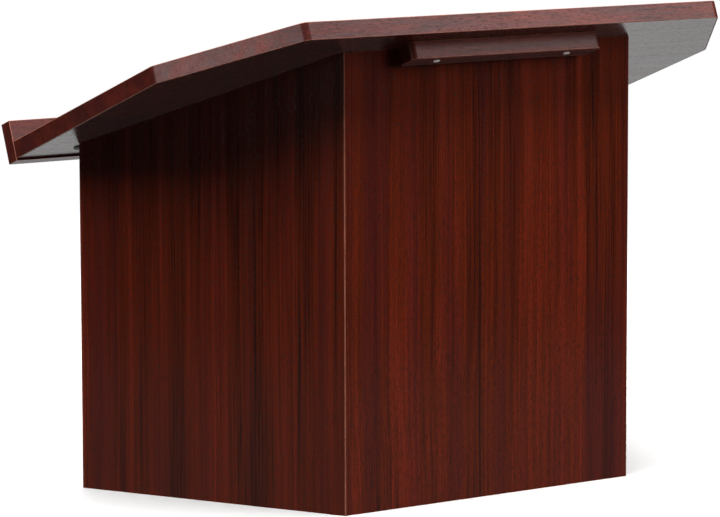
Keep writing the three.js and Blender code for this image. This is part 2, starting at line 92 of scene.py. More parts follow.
class Graph:
    """A material's node tree, with one short call for each kind of node."""

    def __init__(self, name):
        self.material = bpy.data.materials.new(name)
        self.material.use_nodes = True
        self.tree = self.material.node_tree
        self.tree.nodes.clear()
        self.shader = self.tree.nodes.new("ShaderNodeBsdfPrincipled")
        output = self.tree.nodes.new("ShaderNodeOutputMaterial")
        self.tree.links.new(self.shader.outputs[0], output.inputs["Surface"])
        self.place = self.tree.nodes.new("ShaderNodeTexCoord").outputs["Object"]

    def put(self, socket, value):
        if isinstance(value, bpy.types.NodeSocket):
            self.tree.links.new(value, socket)
        else:
            socket.default_value = value

    def scaled(self, vector, scale, shift=(0, 0, 0)):
        node = self.tree.nodes.new("ShaderNodeMapping")
        self.put(node.inputs["Vector"], vector)
        node.inputs["Scale"].default_value = scale
        node.inputs["Location"].default_value = shift
        return node.outputs[0]

    def own_place(self, seed, step):
        """The piece's coordinates moved by the seed, so that each piece has its own part of a pattern."""
        return self.scaled(self.place, (1, 1, 1), tuple(seed * part for part in step))

    def noise(self, vector, scale, detail=2.0, roughness=0.5):
        node = self.tree.nodes.new("ShaderNodeTexNoise")
        self.put(node.inputs["Vector"], vector)
        node.inputs["Scale"].default_value = scale
        node.inputs["Detail"].default_value = detail
        node.inputs["Roughness"].default_value = roughness
        return node.outputs["Fac"]

    def math(self, operation, first, second=0.0):
        node = self.tree.nodes.new("ShaderNodeMath")
        node.operation = operation
        self.put(node.inputs[0], first)
        self.put(node.inputs[1], second)
        return node.outputs[0]

    def spread(self, value, low, high, to_low=0.0, to_high=1.0):
        """Takes low..high to to_low..to_high, and holds it there outside."""
        node = self.tree.nodes.new("ShaderNodeMapRange")
        self.put(node.inputs["Value"], value)
        node.inputs["From Min"].default_value = low
        node.inputs["From Max"].default_value = high
        node.inputs["To Min"].default_value = to_low
        node.inputs["To Max"].default_value = to_high
        return node.outputs[0]

    def ramp(self, value, stops):
        node = self.tree.nodes.new("ShaderNodeValToRGB")
        self.put(node.inputs[0], value)
        fill_ramp(node, stops)
        return node.outputs[0]

    def mix(self, share, first, second, blend="MIX"):
        node = self.tree.nodes.new("ShaderNodeMix")
        node.data_type = "RGBA"
        node.blend_type = blend
        self.put(node.inputs["Factor"], share)
        for socket, value in (("A", first), ("B", second)):
            self.put(node.inputs[socket], value if isinstance(value, bpy.types.NodeSocket) else (*value, 1))
        return node.outputs["Result"]

    def grey(self, value):
        node = self.tree.nodes.new("ShaderNodeCombineColor")
        for i in range(3):
            self.put(node.inputs[i], value)
        return node.outputs[0]

    def shifted(self, vector, amount, axes):
        """The vector moved by a varying amount along the given axes."""
        node = self.tree.nodes.new("ShaderNodeCombineXYZ")
        for axis in axes:
            self.put(node.inputs[axis], amount)
        add = self.tree.nodes.new("ShaderNodeVectorMath")
        add.operation = "ADD"
        self.put(add.inputs[0], vector)
        self.put(add.inputs[1], node.outputs[0])
        return add.outputs[0]

    def bump(self, height, distance, strength=1.0):
        node = self.tree.nodes.new("ShaderNodeBump")
        self.put(node.inputs["Height"], height)
        node.inputs["Distance"].default_value = distance
        node.inputs["Strength"].default_value = strength
        self.put(self.shader.inputs["Normal"], node.outputs[0])

    def finish(self, **values):
        for name, value in values.items():
            self.put(self.shader.inputs[name.replace("_", " ")], value)
        return self.material


# ---- Mahogany laminate ----
X_AXIS = 0
Z_AXIS = 2
GRAIN_DARK = (0.036, 0.0070, 0.0042)
GRAIN_BROWN = (0.108, 0.0150, 0.0050)
GRAIN_MID = (0.150, 0.0190, 0.0060)
GRAIN_RED = (0.225, 0.0240, 0.0100)
GRAIN_PURPLE = (0.088, 0.0125, 0.0118)
PORE_COLOUR = (0.024, 0.006, 0.004)
# ARRIS_PALE is partly the paler edge of the print and partly a painted highlight for the light that eased edges
# catch.
ARRIS_PALE = (0.52, 0.20, 0.13)
ARRIS_DEEP = (0.18, 0.052, 0.034)
TONE_STOPS = ((0.28, GRAIN_DARK), (0.43, GRAIN_BROWN), (0.57, GRAIN_MID), (0.74, GRAIN_RED))
TONE_MIDDLE = 0.5
BROAD_WEIGHT = 0.32
MEDIUM_WEIGHT = 0.24
FINE_WEIGHT = 0.24
HAIR_WEIGHT = 0.20
HUE_WEIGHT = 0.6  # of the purple, where its streaks are full
STREAK_ROUGHNESS = 0.55
SWAY = 2 * MM  # how far the grain wanders across its line
PORE_COVER = 0.65
PORE_ROUGHNESS = 0.12  # added where there is a pore
PORE_RELIEF = 0.05 * MM
FINE_RELIEF_SHARE = 0.35
GRAIN_STEP = (0.731, 0.417, 0.593)
ARRIS_STEP = (0.37, 0.91, 0.53)
METAL_STEP = (0.21, 0.67, 0.83)


def grain_scale(axis, share):
    """Full scale across the grain and a small share of it along the grain."""
    return tuple(share if i == axis else 1.0 for i in range(3))


def mahogany(name, axis, seed, lift=0.0, contrast=1.0, roughness=0.2, purple=0.0, gloss=0.24, shorten=1.0):
    """Laminate printed as mahogany: broad bands, streaks, hairlines and short pores along one axis.

    A higher lift is lighter, and a higher shorten makes the streaks shorter.
    """
    g = Graph(name)
    across = [i for i in range(3) if i != axis]
    place = g.own_place(seed, GRAIN_STEP)
    sway = g.noise(g.scaled(place, grain_scale(axis, 0.8)), scale=4.0, detail=1.0)
    wavy = g.shifted(place, g.spread(sway, 0.3, 0.7, -SWAY, SWAY), across)

    def streaks(along, scale, detail, low, high):
        """Noise drawn out along the grain, with its levels from low to high taken to 0 to 1."""
        drawn_out = g.scaled(wavy, grain_scale(axis, along * shorten))
        return g.spread(g.noise(drawn_out, scale, detail, STREAK_ROUGHNESS), low, high)

    broad = streaks(along=0.018, scale=38.0, detail=1.0, low=0.25, high=0.75)
    medium = streaks(along=0.012, scale=125.0, detail=2.0, low=0.28, high=0.72)
    fine = streaks(along=0.008, scale=430.0, detail=2.0, low=0.30, high=0.70)
    hair = streaks(along=0.006, scale=950.0, detail=1.0, low=0.28, high=0.72)
    tone = g.math("MULTIPLY", broad, BROAD_WEIGHT * contrast)
    for layer, weight in ((medium, MEDIUM_WEIGHT), (fine, FINE_WEIGHT), (hair, HAIR_WEIGHT)):
        tone = g.math("ADD", tone, g.math("MULTIPLY", layer, weight * contrast))
    tone = g.math("ADD", tone, TONE_MIDDLE * (1 - contrast) + lift)
    colour = g.ramp(tone, TONE_STOPS)
    hue = streaks(along=0.035, scale=55.0, detail=1.0, low=0.48, high=0.70)
    # The purple streaks are tone of the print. The even purple cast set by purple is a painted reflection: it
    # stands in for the greyish sheen that the white surroundings give the top's band, the paper stop and the stop
    # block.
    purple_share = g.math("ADD", g.math("MULTIPLY", hue, HUE_WEIGHT - purple / 2), purple)
    colour = g.mix(purple_share, colour, GRAIN_PURPLE)
    ticks = g.noise(g.scaled(wavy, grain_scale(axis, 0.14)), scale=1250.0, detail=1.0)
    pores = g.spread(ticks, 0.54, 0.66)
    colour = g.mix(g.math("MULTIPLY", pores, PORE_COVER), colour, PORE_COLOUR)
    speckle = g.spread(g.noise(place, scale=1000.0, detail=2.0), 0.3, 0.7, to_low=0.80, to_high=1.20)
    colour = g.mix(1.0, colour, g.grey(speckle), "MULTIPLY")
    height = g.math("SUBTRACT", g.math("MULTIPLY", fine, FINE_RELIEF_SHARE), pores)
    g.bump(height, distance=PORE_RELIEF, strength=0.35)
    polish = g.spread(medium, 0, 1, roughness - 0.03, roughness + 0.04)
    rough = g.math("ADD", g.math("MULTIPLY", pores, PORE_ROUGHNESS), polish)
    return g.finish(Base_Color=colour, Roughness=rough, Specular_IOR_Level=gloss)


def arris(name, seed, pale=0.6):
    """The eased edge of a board, where the print is thin and the paler edge shows, lightened further by a painted
    highlight for the light a rounded edge catches.
    """
    g = Graph(name)
    place = g.own_place(seed, ARRIS_STEP)
    patches = g.noise(place, scale=55.0, detail=4.0, roughness=0.6)
    # The pale patches are partly worn print and partly a painted highlight on the eased edge.
    wear_and_highlight = g.spread(patches, 0.35, 0.62, pale - 0.3, pale + 0.25)
    colour = g.mix(wear_and_highlight, ARRIS_DEEP, ARRIS_PALE)
    specks = g.spread(g.noise(place, scale=900.0, detail=2.0), 0.55, 0.7)
    colour = g.mix(g.math("MULTIPLY", specks, 0.35), colour, ARRIS_DEEP)
    rough = g.spread(specks, 0, 1, 0.34, 0.5)
    g.bump(g.noise(place, scale=1500.0, detail=2.0), distance=0.03 * MM, strength=0.3)
    return g.finish(Base_Color=colour, Roughness=rough, Specular_IOR_Level=0.2)


def metal(name, colour, tint, roughness, seed):
    """Plated steel with brushing, small stains and a slightly uneven polish."""
    g = Graph(name)
    place = g.own_place(seed, METAL_STEP)
    brushed = g.noise(g.scaled(place, (1, 1, 0.03)), scale=2400.0, detail=2.0)
    stain = g.spread(g.noise(place, scale=160.0, detail=4.0, roughness=0.6), 0.5, 0.72)
    shade = g.mix(g.math("MULTIPLY", stain, 0.5), colour, tint)
    polish = g.spread(brushed, 0.3, 0.7, roughness - 0.06, roughness + 0.08)
    rough = g.math("ADD", polish, g.math("MULTIPLY", stain, 0.15))
    g.bump(brushed, distance=0.02 * MM, strength=0.4)
    return g.finish(Base_Color=shade, Roughness=rough, Metallic=1.0)


def rubber(name):
    """Black rubber with a little dust on it."""
    g = Graph(name)
    dust = g.spread(g.noise(g.place, scale=700.0, detail=3.0, roughness=0.6), 0.5, 0.75)
    colour = g.mix(dust, (0.010, 0.010, 0.011), (0.035, 0.033, 0.031))
    g.bump(g.noise(g.place, scale=2500.0, detail=2.0), distance=0.04 * MM, strength=0.5)
    return g.finish(Base_Color=colour, Roughness=g.spread(dust, 0, 1, 0.55, 0.8))


def beech(name):
    """Pale dowel wood."""
    g = Graph(name)
    rings = g.noise(g.scaled(g.place, (1, 0.06, 0.06)), scale=500.0, detail=3.0)
    flecks = g.spread(g.noise(g.scaled(g.place, (1, 0.1, 0.1)), scale=1800.0, detail=1.0), 0.6, 0.7)
    colour = g.mix(g.spread(rings, 0.3, 0.7), (0.40, 0.24, 0.12), (0.56, 0.37, 0.20))
    colour = g.mix(g.math("MULTIPLY", flecks, 0.5), colour, (0.26, 0.14, 0.07))
    g.bump(rings, distance=0.05 * MM, strength=0.4)
    return g.finish(Base_Color=colour, Roughness=g.spread(rings, 0.3, 0.7, 0.5, 0.65))


# ---- Mesh helpers ----
def screw_boxes():
    room = Vector((SCREW_ROOM,) * 3)
    return [(low - room, high + room) for low, high in (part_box(n) for n in nodes if "screw" in n)]


def inside(point, low, high):
    return all(low[i] <= point[i] <= high[i] for i in range(3))


SCREW_BOXES = screw_boxes()


def at_a_screw(edge):
    ends = [v.co for v in edge.verts]
    return any(all(inside(end, low, high) for end in ends) for low, high in SCREW_BOXES)


def cad_mesh(node, ring=False):
    """The CAD piece's mesh, with its flat faces whole again; a ring is kept as two halves."""
    mesh = bmesh.new()
    mesh.from_mesh(nodes[node].data)
    bmesh.ops.remove_doubles(mesh, verts=mesh.verts[:], dist=WELD_DISTANCE)
    if ring:
        everything = mesh.verts[:] + mesh.edges[:] + mesh.faces[:]
        cut = bmesh.ops.bisect_plane(mesh, geom=everything, plane_co=(0, 0, 0), plane_no=(1, 0, 0))
        for edge in (item for item in cut["geom_cut"] if isinstance(item, bmesh.types.BMEdge)):
            edge.seam = True
    bmesh.ops.dissolve_limit(
        mesh, angle_limit=FLAT_ANGLE, verts=mesh.verts[:], edges=mesh.edges[:], delimit={"SEAM"},
    )
    bmesh.ops.connect_verts_concave(mesh, faces=mesh.faces[:])
    return mesh


def faces_inward(face):
    """True for the inner wall of the band that is wrapped round the top."""
    middle = face.calc_center_median()
    level = abs(face.normal.dot(slope_up)) < 0.5
    return level and face.normal.x * middle.x + face.normal.y * (middle.y - TOP_MIDDLE_Y) < 0


def ease_edges(mesh, width, segments=3, skip=lambda face: False):
    """Rounds every sharp edge, apart from screw holes, skipped faces and what is eased already."""
    edges = [
        edge for edge in mesh.edges
        if len(edge.link_faces) == 2
        and edge.calc_face_angle(0) > SHARP_ANGLE
        and not any(face.material_index or skip(face) for face in edge.link_faces)
        and not at_a_screw(edge)
    ]
    # The rounded faces take the arris material, which is paler partly as a painted highlight.
    bmesh.ops.bevel(mesh, geom=edges, offset=width, offset_type="OFFSET", segments=segments,
                    profile=0.5, affect="EDGES", clamp_overlap=True, material=1)


def ease_corner(mesh, point, outward, depth):
    """Cuts the sharp outer edge of a mitred corner flat."""
    result = bmesh.ops.bisect_plane(
        mesh, geom=mesh.verts[:] + mesh.edges[:] + mesh.faces[:],
        plane_co=point - outward * depth, plane_no=outward, clear_outer=True,
    )
    rim = [item for item in result["geom_cut"] if isinstance(item, bmesh.types.BMEdge)]
    # The cut face takes the arris material, which is paler partly as a painted highlight.
    for face in bmesh.ops.edgenet_fill(mesh, edges=rim)["faces"]:
        face.material_index = 1


def smooth(obj, angle=SMOOTH_ANGLE):
    obj.data.shade_smooth()
    obj.data.set_sharp_from_angle(angle=angle)
    weighted = obj.modifiers.new("even_normals", "WEIGHTED_NORMAL")
    weighted.keep_sharp = True
    weighted.weight = 100


def add_piece(name, mesh, materials, body, slot, *replaced):
    """A finished piece from a bmesh, riding on its body in place of its CAD nodes."""
    bmesh.ops.recalc_face_normals(mesh, faces=mesh.faces[:])
    data = bpy.data.meshes.new(name)
    mesh.to_mesh(data)
    mesh.free()
    obj = bpy.data.objects.new(name, data)
    bpy.context.scene.collection.objects.link(obj)
    for material in materials:
        data.materials.append(material)
    smooth(obj)
    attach(obj, body)
    if replaced:
        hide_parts(*replaced)
    return obj


def board(node, body, slot, materials, width=ARRIS):
    mesh = cad_mesh(node)
    ease_edges(mesh, width)
    return add_piece(f"{node}_board", mesh, materials, body, slot, node)


# ---- Standing panels ----
def corner_outward(hand):
    """The level direction from inside the base out through a mitred corner."""
    turn = (math.pi / 2 - flare) / 2
    return Vector((hand * math.sin(turn), -math.cos(turn), 0))


def corner_point(hand):
    half = (front_high.x - front_low.x) / 2
    return Vector((hand * half, front_low.y, 0))


def front_panel():
    mesh = cad_mesh("front_panel")
    for hand in (LEFT, RIGHT):
        ease_corner(mesh, corner_point(hand), corner_outward(hand), CORNER_ARRIS_DEPTH)
    ease_edges(mesh, ARRIS)
    look = [mahogany("front_laminate", Z_AXIS, seed=1.0), arris("front_arris", seed=1.0, pale=0.75)]
    return add_piece("front_panel_board", mesh, look, "base", "laminate", "front_panel")


def side_panel(hand):
    side = side_name[hand]
    mesh = cad_mesh(f"{side}_side_panel")
    ease_corner(mesh, corner_point(hand), corner_outward(hand), CORNER_ARRIS_DEPTH)
    ease_edges(mesh, ARRIS)
    look = [
        mahogany(f"{side}_laminate", Z_AXIS, seed=3.0 + hand),
        arris(f"{side}_arris", seed=3.0 + hand, pale=0.7),
    ]
    add_piece(f"{side}_panel_board", mesh, look, f"{side}_side", "laminate", f"{side}_side_panel")
    band_look = [
        mahogany(f"{side}_band_laminate", Z_AXIS, seed=6.0 + hand, lift=0.05),
        arris(f"{side}_band_arris", seed=6.0 + hand),
    ]
    board(f"{side}_side_edge_band", f"{side}_side", "edge_band", band_look, SIDE_BAND_ARRIS)


# ---- Sloping top ----
def sloping_top():
    top_look = [
        mahogany("top_laminate", X_AXIS, seed=9.0, lift=-0.04, contrast=0.8, roughness=0.18, gloss=0.5),
        arris("top_arris", seed=9.0),
    ]
    board("top_board", "top", "laminate", top_look)
    # The purple cast on the band, the paper stop and the stop block is a painted reflection of the white
    # surroundings.
    band_look = [
        mahogany("top_band_laminate", X_AXIS, seed=10.0, lift=-0.06, contrast=1.3,
                 roughness=0.3, purple=0.4, gloss=0.5, shorten=7.0),
        arris("top_band_arris", seed=10.0, pale=0.55),
    ]
    mesh = cad_mesh("top_edge_band", ring=True)
    ease_edges(mesh, BAND_ARRIS, skip=faces_inward)
    add_piece("top_edge_band_strip", mesh, band_look, "top", "edge_band", "top_edge_band")
    stop_look = [
        mahogany("stop_laminate", X_AXIS, seed=12.0, lift=-0.02, contrast=1.2,
                 roughness=0.3, purple=0.45, gloss=0.55, shorten=3.0),
        arris("stop_arris", seed=12.0, pale=0.7),
    ]
    board("paper_stop", "top", "laminate", stop_look)
    block_look = [
        mahogany("block_laminate", X_AXIS, seed=14.0, contrast=1.3,
                 roughness=0.28, purple=0.45, gloss=0.26, shorten=2.0),
        arris("block_arris", seed=14.0, pale=0.45),
    ]
    board("stop_block", "top", "laminate", block_look, BLOCK_ARRIS)


front_panel()
side_panel(LEFT)
side_panel(RIGHT)
sloping_top()
strip_look = [mahogany("strip_laminate", Z_AXIS, seed=16.0), arris("strip_arris", seed=16.0)]
board("packing_strip", "base", "laminate", strip_look)


# ---- Turned pieces ----
def lathe(profile, steps=ROUND_STEPS):
    """A closed round body about Z from (radius, height) pairs that start and end on the axis."""
    mesh = bmesh.new()
    rings = []
    for radius, height in profile:
        if radius == 0:
            rings.append([mesh.verts.new((0, 0, height))])
            continue
        rings.append([
            mesh.verts.new((radius * math.cos(a), radius * math.sin(a), height))
            for a in (2 * math.pi * i / steps for i in range(steps))
        ])
    for low, high in zip(rings, rings[1:]):
        for i in range(steps):
            j = (i + 1) % steps
            corners = [low[i % len(low)], low[j % len(low)], high[j % len(high)], high[i % len(high)]]
            mesh.faces.new(list(dict.fromkeys(corners)))
    return mesh


def solid(mesh, name="tool"):
    bmesh.ops.recalc_face_normals(mesh, faces=mesh.faces[:])
    data = bpy.data.meshes.new(name)
    mesh.to_mesh(data)
    mesh.free()
    obj = bpy.data.objects.new(name, data)
    bpy.context.scene.collection.objects.link(obj)
    return obj


def combined(first, others, operation):
    """The first solid joined with the others or cut by them, as a bmesh."""
    for other in others:
        modifier = first.modifiers.new("combine", "BOOLEAN")
        modifier.operation = operation
        modifier.solver = "EXACT"
        modifier.object = other
        data = bpy.data.meshes.new_from_object(first.evaluated_get(bpy.context.evaluated_depsgraph_get()))
        first.modifiers.clear()
        first.data = data
    mesh = bmesh.new()
    mesh.from_mesh(first.data)
    for obj in (first, *others):
        bpy.data.objects.remove(obj)
    return mesh


def block(low, high):
    mesh = bmesh.new()
    bmesh.ops.create_cube(mesh, size=1)
    for vert in mesh.verts:
        vert.co = Vector([low[i] + (vert.co[i] + 0.5) * (high[i] - low[i]) for i in range(3)])
    return mesh


# ---- Screws: measured on the CAD piece ----
WIDEST_SHARE = 0.97  # points this far out, as a share of the head's radius, are its rim
HEAD_SHARE = 0.4  # of the length from the rim, beyond which only shank is measured
FLAT_HEAD = 0.2 * MM  # a head that rises less is flat
FLAT_HEAD_BEVEL = 0.12 * MM
CROWN_ROWS = 6
SCREW_STEPS = 32
SCREW_RIM = 0.25 * MM
TIP_HEIGHT = 0.2 * MM
TIP_SHARE = 0.3  # of the root
TAPER_SHARE = 2  # length of the point, in shank radii
ROOT_SHARE = 0.72  # of the shank's radius, and so are the next two
THREAD_SHARE = 0.97
PITCH_SHARE = 1.1
CREST_AT = 0.35  # of the pitch, and so is the next
FLANK_END = 0.7
RECESS_REACH_SHARE = 0.56  # of the head's radius, and so are the next two
RECESS_WIDTH_SHARE = 0.12
RECESS_DEPTH_SHARE = 0.42
RECESS_END_TAPER = 0.45  # of its reach, at the bottom of the recess
RECESS_SIDE_TAPER = 0.6
RECESS_TURN = 0.35


def screw_frame(node):
    """The screw's place, head and shank radius, length and dome height.

    The place is a matrix with its origin at the middle of the head's rim and Z out of the head.
    """
    points = np.array([v.co for v in nodes[node].data.vertices])
    middle = points.mean(0)
    axis = np.linalg.svd(points - middle)[2][0]
    along = (points - middle) @ axis
    spread = np.linalg.norm((points - middle) - np.outer(along, axis), axis=1)
    if spread[along > 0].max() < spread[along < 0].max():
        axis, along = -axis, -along
    rim_points = points[spread > spread.max() * WIDEST_SHARE]
    rim = along[spread > spread.max() * WIDEST_SHARE].max()
    length = rim - along.min()
    neck = spread[along < rim - length * HEAD_SHARE]
    centre = Vector((rim_points.max(0) + rim_points.min(0)) / 2)
    up = Vector(axis)
    centre += up * (rim - (np.array(centre) - middle) @ axis)
    turn = up.to_track_quat("Z", "Y").to_matrix().to_4x4()
    place = Matrix.Translation(centre) @ turn
    return place, float(spread.max()), float(neck.max()), float(length), float(along.max() - rim)


def screw_mesh(head, shank, length, dome):
    """A countersunk screw with a cross recess and a coarse wood thread; some have a raised crown."""
    neck = -(SCREW_RIM + head - shank)
    root = shank * ROOT_SHARE
    crest = shank * THREAD_SHARE
    height = -length + shank * TAPER_SHARE
    profile = [(0, -length), (root * TIP_SHARE, -length + TIP_HEIGHT), (root, height)]
    pitch = shank * PITCH_SHARE
    while height + pitch < neck - pitch:
        profile.append((crest, height + pitch * CREST_AT))
        profile.append((root, height + pitch * FLANK_END))
        profile.append((root, height + pitch))
        height += pitch
    profile += [(shank, neck - pitch * 0.5), (shank, neck), (head, -SCREW_RIM)]
    if dome > FLAT_HEAD:
        turns = [math.pi / 2 * i / CROWN_ROWS for i in range(CROWN_ROWS)]
        profile += [(head * math.cos(a), dome * math.sin(a)) for a in turns] + [(0, dome)]
    else:
        profile += [(head - FLAT_HEAD_BEVEL, 0), (0, 0)]
        dome = 0
    body = solid(lathe(profile, SCREW_STEPS))
    reach = head * RECESS_REACH_SHARE
    width = head * RECESS_WIDTH_SHARE
    depth = head * RECESS_DEPTH_SHARE
    slots = []
    for turn in (0, math.pi / 2):
        slot = block((-reach, -width, -depth), (reach, width, dome + depth))
        for vert in slot.verts:
            if vert.co.z < 0:
                vert.co.x *= RECESS_END_TAPER
                vert.co.y *= RECESS_SIDE_TAPER
        bmesh.ops.rotate(slot, verts=slot.verts[:], matrix=Matrix.Rotation(turn + RECESS_TURN, 3, "Z"))
        slots.append(solid(slot))
    return combined(body, slots, "DIFFERENCE")


STEEL = metal("zinc_steel", (0.42, 0.39, 0.37), (0.24, 0.20, 0.17), roughness=0.34, seed=1.0)
BRASS = metal("plated_brass", (0.70, 0.50, 0.22), (0.35, 0.22, 0.09), roughness=0.3, seed=2.0)
PIN_BRASS = metal("pin_brass", (0.62, 0.45, 0.20), (0.30, 0.19, 0.08), roughness=0.28, seed=3.0)


def screws(body_of_node):
    for node in sorted(n for n in nodes if "screw" in n):
        matrix, *sizes = screw_frame(node)
        mesh = screw_mesh(*sizes)
        bmesh.ops.transform(mesh, matrix=matrix, verts=mesh.verts[:])
        hinge = "hinge" in node
        look, slot = (BRASS, "hinge_brass") if hinge else (STEEL, "screw_steel")
        add_piece(f"{node}_turned", mesh, [look], body_of_node[node], slot, node)


body_of_node = {n: body for body, members in frame["record"]["behaviour"]["bodies"].items() for n in members}
screws(body_of_node)


# ---- Butt hinges ----
LEAF_THICKNESS = 1.6 * MM
LEAF_WIDTH = 22 * MM
LEAF_OFFSET = 3.9 * MM  # pin axis to the leaf's back
KNUCKLE_RADIUS = 3.6 * MM
BORE_RADIUS = 1.6 * MM
KNUCKLES = 5
KNUCKLE_GAP = 0.3 * MM
NOTCH = 4.1 * MM  # pin axis to the leaf's near edge
LEAF_SCREW_REACH = 13 * MM
LEAF_SCREW_SPREAD = 20 * MM  # each screw from the leaf's middle
LEAF_SCREW_HEAD = 2.85 * MM
LEAF_SCREW_SHANK = 1.55 * MM
SINK_RIM = 0.3 * MM  # straight part of a countersink's mouth
LEAF_ARRIS = 0.2 * MM
LONG_EDGE = 6 * MM
SQUARE_ANGLE = math.radians(50)
CLEAN_DISTANCE = 0.003 * MM
TOOL_OVERCUT = 1.1
PIN_SHANK_SHARE = 0.577  # of the pin head's radius, and so are the next two
PIN_END_SHARE = 0.6
PIN_SHOULDER_SHARE = 0.95
PIN_SHOULDER_HEIGHT = 0.3 * MM


def tube(outer, inner, low, high):
    """A round tube about Z."""
    mesh = bmesh.new()
    loops = []
    for radius, height in ((inner, low), (outer, low), (outer, high), (inner, high)):
        loops.append([
            mesh.verts.new((radius * math.cos(a), radius * math.sin(a), height))
            for a in (2 * math.pi * i / ROUND_STEPS for i in range(ROUND_STEPS))
        ])
    for k in range(4):
        one, two = loops[k], loops[(k + 1) % 4]
        for i in range(ROUND_STEPS):
            j = (i + 1) % ROUND_STEPS
            mesh.faces.new((one[i], one[j], two[j], two[i]))
    return mesh


def leaf_mesh(length, moving):
    """A flat leaf with its rolled knuckles; the wood is on its -Y side and its free edge towards +X."""
    back = -LEAF_OFFSET
    face = LEAF_THICKNESS - LEAF_OFFSET
    half = length / 2
    body = solid(block((NOTCH, back, -half), (LEAF_WIDTH, face, half)))
    parts = []
    pitch = length / KNUCKLES
    for i in range(1 if moving else 0, KNUCKLES, 2):
        low = -half + i * pitch + (KNUCKLE_GAP / 2 if i else 0)
        high = -half + (i + 1) * pitch - (KNUCKLE_GAP / 2 if i < KNUCKLES - 1 else 0)
        parts.append(solid(block((0, back, low), (NOTCH + MM, face, high))))
        parts.append(solid(tube(KNUCKLE_RADIUS, BORE_RADIUS, low, high)))
    body = solid(combined(body, parts, "UNION"))
    over = half * TOOL_OVERCUT
    tools = [solid(lathe([(0, -over), (BORE_RADIUS, -over), (BORE_RADIUS, over), (0, over)]))]
    sink = LEAF_SCREW_HEAD - LEAF_SCREW_SHANK
    depth = 2 * LEAF_THICKNESS
    for end in (-1, 1):
        hole = lathe([
            (0, -depth), (LEAF_SCREW_SHANK, -depth), (LEAF_SCREW_SHANK, -sink - SINK_RIM),
            (LEAF_SCREW_HEAD, -SINK_RIM), (LEAF_SCREW_HEAD, MM), (0, MM),
        ], SCREW_STEPS)
        bmesh.ops.rotate(hole, verts=hole.verts[:], matrix=Matrix.Rotation(-math.pi / 2, 3, "X"))
        bmesh.ops.translate(hole, verts=hole.verts[:], vec=(LEAF_SCREW_REACH, face, end * LEAF_SCREW_SPREAD))
        tools.append(solid(hole))
    return rounded_plate(combined(body, tools, "DIFFERENCE"))


def rounded_plate(mesh):
    """Takes the sharpness off the leaf's long and end edges."""
    bmesh.ops.remove_doubles(mesh, verts=mesh.verts[:], dist=CLEAN_DISTANCE)
    bmesh.ops.dissolve_degenerate(mesh, dist=CLEAN_DISTANCE, edges=mesh.edges[:])
    edges = [
        edge for edge in mesh.edges
        if len(edge.link_faces) == 2
        and edge.calc_length() > LONG_EDGE
        and edge.calc_face_angle(0) > SQUARE_ANGLE
    ]
    bmesh.ops.bevel(mesh, geom=edges, offset=LEAF_ARRIS, offset_type="OFFSET", segments=2,
                    profile=0.5, affect="EDGES", clamp_overlap=True)
    bmesh.ops.remove_doubles(mesh, verts=mesh.verts[:], dist=CLEAN_DISTANCE)
    bmesh.ops.dissolve_degenerate(mesh, dist=CLEAN_DISTANCE, edges=mesh.edges[:])
    return mesh


def leaf_matrix(hand, moving, height):
    outward = math.pi / 2 - hand * flare
    inward = 0 if hand == LEFT else math.pi
    turn = Matrix.Rotation(outward if moving else inward, 4, "Z")
    if (hand == LEFT) == moving:
        turn = turn @ Matrix.Rotation(math.pi, 4, "X")
    point = hinge_point[hand]
    return Matrix.Translation((point.x, point.y, height)) @ turn


def hinge(hand, level):
    stem = f"{side_name[hand]}_{level}_hinge"
    low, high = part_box(f"{stem}_pin")
    leaf_low, leaf_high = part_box(f"{stem}_front_leaf")
    height = (low.z + high.z) / 2
    for moving, role, body in ((False, "front", "base"), (True, "side", f"{side_name[hand]}_side")):
        mesh = leaf_mesh(leaf_high.z - leaf_low.z, moving)
        bmesh.ops.transform(mesh, matrix=leaf_matrix(hand, moving, height), verts=mesh.verts[:])
        add_piece(f"{stem}_{role}_plate", mesh, [BRASS], body, "hinge_brass", f"{stem}_{role}_leaf")
    radius = (high.x - low.x) / 2
    half = (high.z - low.z) / 2
    head = leaf_high.z - height
    shank = radius * PIN_SHANK_SHARE
    end = radius * PIN_END_SHARE
    shoulder = radius * PIN_SHOULDER_SHARE
    rise = half - PIN_SHOULDER_HEIGHT
    pin = lathe([
        (0, -half), (end, -half), (shoulder, -rise), (radius, -head), (shank, -head),
        (shank, head), (radius, head), (shoulder, rise), (end, half), (0, half),
    ])
    bmesh.ops.translate(pin, verts=pin.verts[:], vec=((low.x + high.x) / 2, (low.y + high.y) / 2, height))
    add_piece(f"{stem}_pin_turned", pin, [PIN_BRASS], "base", "hinge_brass", f"{stem}_pin")


for hand in (LEFT, RIGHT):
    for level in ("lower", "upper"):
        hinge(hand, level)


# ---- Rubber buttons ----
RUBBER = rubber("black_rubber")
BUTTON_ROWS = 10
BUTTON_FULLNESS = 0.8  # under 1 gives steeper sides than a round dome's


def stop_button(hand):
    node = f"{side_name[hand]}_stop_button"
    low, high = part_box(node)
    points = [v.co for v in nodes[node].data.vertices]
    across = [p.dot(slope_up) for p in points]
    height = max(across) - min(across)
    radius = (high.x - low.x) / 2
    turns = [math.pi / 2 * i / BUTTON_ROWS for i in range(1, BUTTON_ROWS + 1)]
    dome = [(0, -height)]
    dome += [(radius * math.sin(a) ** BUTTON_FULLNESS, -height * math.cos(a)) for a in turns]
    mesh = lathe([*dome, (0, 0)])
    turn = slope_up.to_track_quat("Z", "Y").to_matrix().to_4x4()
    middle = Vector(((low.x + high.x) / 2, (low.y + high.y) / 2, (low.z + high.z) / 2))
    middle += slope_up * (max(across) - middle.dot(slope_up))
    bmesh.ops.transform(mesh, matrix=Matrix.Translation(middle) @ turn, verts=mesh.verts[:])
    add_piece(f"{node}_dome", mesh, [RUBBER], "top", "button_rubber", node)


stop_button(LEFT)
stop_button(RIGHT)

BEECH = beech("beech_dowel")
for node in (n for n in nodes if n.startswith("dowel")):
    nodes[node].data.materials.clear()
    nodes[node].data.materials.append(BEECH)


# ---- Stage ----
FLOOR_RADIUS = 2.6
FLOOR_THICKNESS = 0.02
FLOOR_STEPS = 96


